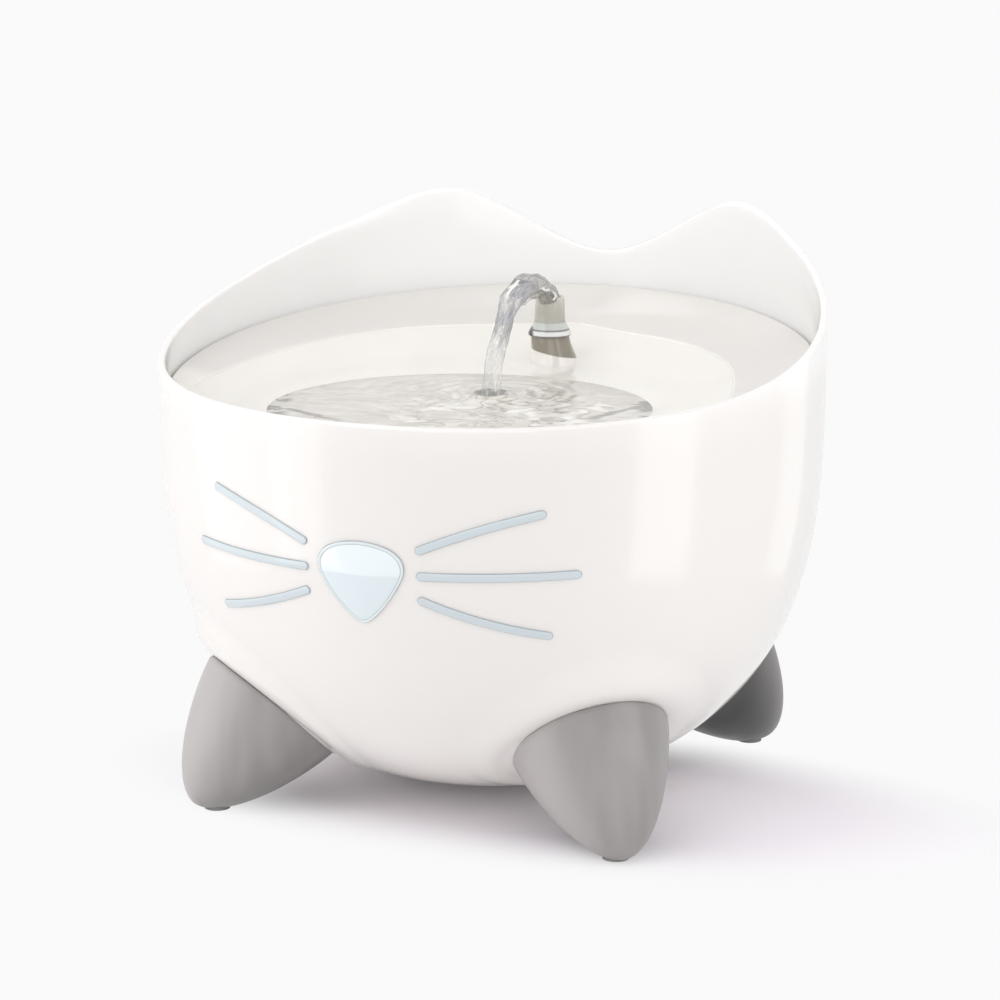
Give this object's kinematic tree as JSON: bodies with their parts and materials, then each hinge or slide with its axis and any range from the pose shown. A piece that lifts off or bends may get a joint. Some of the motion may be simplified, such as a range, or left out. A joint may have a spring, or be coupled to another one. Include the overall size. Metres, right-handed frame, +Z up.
{
  "type": "pet water fountain",
  "caption": "Round pet water fountain with an ear-shaped back rim, pointed feet, a lift-out drinking dish with a spout, and a submersible pump with a filter tray.",
  "frame": {"origin": "on the ground under the middle of the bowl", "axes": "+Z up; the nose and whiskers face -Y; +X to the right seen from the front"},
  "size_m": [0.24, 0.24, 0.2028],
  "materials": {
    "bowl_plastic": "gloss white, slightly warm",
    "foot_rubber": "soft satin grey",
    "pad_rubber": "matte grey",
    "inlay_plastic": "pale blue, clear gloss",
    "bezel_plastic": "pale blue gloss",
    "seal_rubber": "matte black",
    "inner_plastic": "fine satin white",
    "circuit_board": "green solder mask",
    "led_lens": "clear resin",
    "milky_plastic": "milky, see-through",
    "screw_steel": "plain stainless",
    "lead_jacket": "satin black",
    "pump_plastic": "fine matte dark grey",
    "core_steel": "laminated, bare",
    "coil_copper": "enamelled copper",
    "ceramic": "polished ceramic",
    "impeller_plastic": "plain white",
    "magnet": "dark ferrite",
    "sponge": "open-cell foam",
    "dish_plastic": "gloss cream",
    "carbon_pad": "carbon fleece"
  },
  "bodies": {
    "base": {"bowl": "bowl_plastic", "foot_front_left": "foot_rubber", "foot_front_right": "foot_rubber", "foot_rear_left": "foot_rubber", "foot_rear_right": "foot_rubber", "foot_pads": "pad_rubber", "nose_lens": "inlay_plastic", "nose_bezel": "bezel_plastic", "whiskers_left": "inlay_plastic", "whiskers_right": "inlay_plastic", "light_gasket": "seal_rubber", "light_housing": "inner_plastic", "light_board": "circuit_board", "light_leds": "led_lens", "light_diffuser": "milky_plastic", "light_screws": "screw_steel", "cable_gland": "pad_rubber", "gland_nut": "inner_plastic", "pump_lead": "lead_jacket", "light_lead": "lead_jacket", "lead_clips": "inner_plastic", "pump_cradle": "inner_plastic", "cradle_screws": "screw_steel", "pump_cups": "seal_rubber", "pump_housing": "pump_plastic", "motor_cover": "pump_plastic", "stator_core": "core_steel", "stator_coil": "coil_copper", "pump_shaft": "ceramic", "shaft_bush_inner": "seal_rubber", "shaft_bush_outer": "seal_rubber", "chamber_cover": "pump_plastic", "riser_tube": "milky_plastic"},
    "rotor": {"impeller": "impeller_plastic", "rotor_magnet": "magnet"},
    "pump_cap": {"intake_cover": "pump_plastic", "intake_sponge": "sponge"},
    "dial": {"flow_dial": "inner_plastic"},
    "dish": {"dish": "dish_plastic"},
    "spout": {"spout": "milky_plastic", "spout_seal": "seal_rubber"},
    "filter": {"filter_tray": "inner_plastic", "filter_foam": "sponge", "filter_carbon": "carbon_pad", "filter_grid": "inner_plastic"}
  },
  "joints": [
    {"name": "dish_lift", "type": "slide", "parent": "base", "child": "dish", "axis": [0, 0, 1], "range_m": [0, 0.13]},
    {"name": "spout_pull", "type": "slide", "parent": "dish", "child": "spout", "axis": [0, 0, 1], "range_m": [0, 0.04]},
    {"name": "filter_drop", "type": "slide", "parent": "dish", "child": "filter", "axis": [0, 0, -1], "range_m": [0, 0.024]},
    {"name": "impeller_spin", "type": "hinge", "parent": "base", "child": "rotor", "pos_m": [0, 0.05, 0.051], "axis": [0, 1, 0], "continuous": true},
    {"name": "cap_slide", "type": "slide", "parent": "base", "child": "pump_cap", "axis": [0, 1, 0], "range_m": [0, 0.008]},
    {"name": "dial_turn", "type": "hinge", "parent": "pump_cap", "child": "dial", "pos_m": [0, 0.073, 0.051], "axis": [0, 1, 0], "range_deg": [0, 60]}
  ]
}
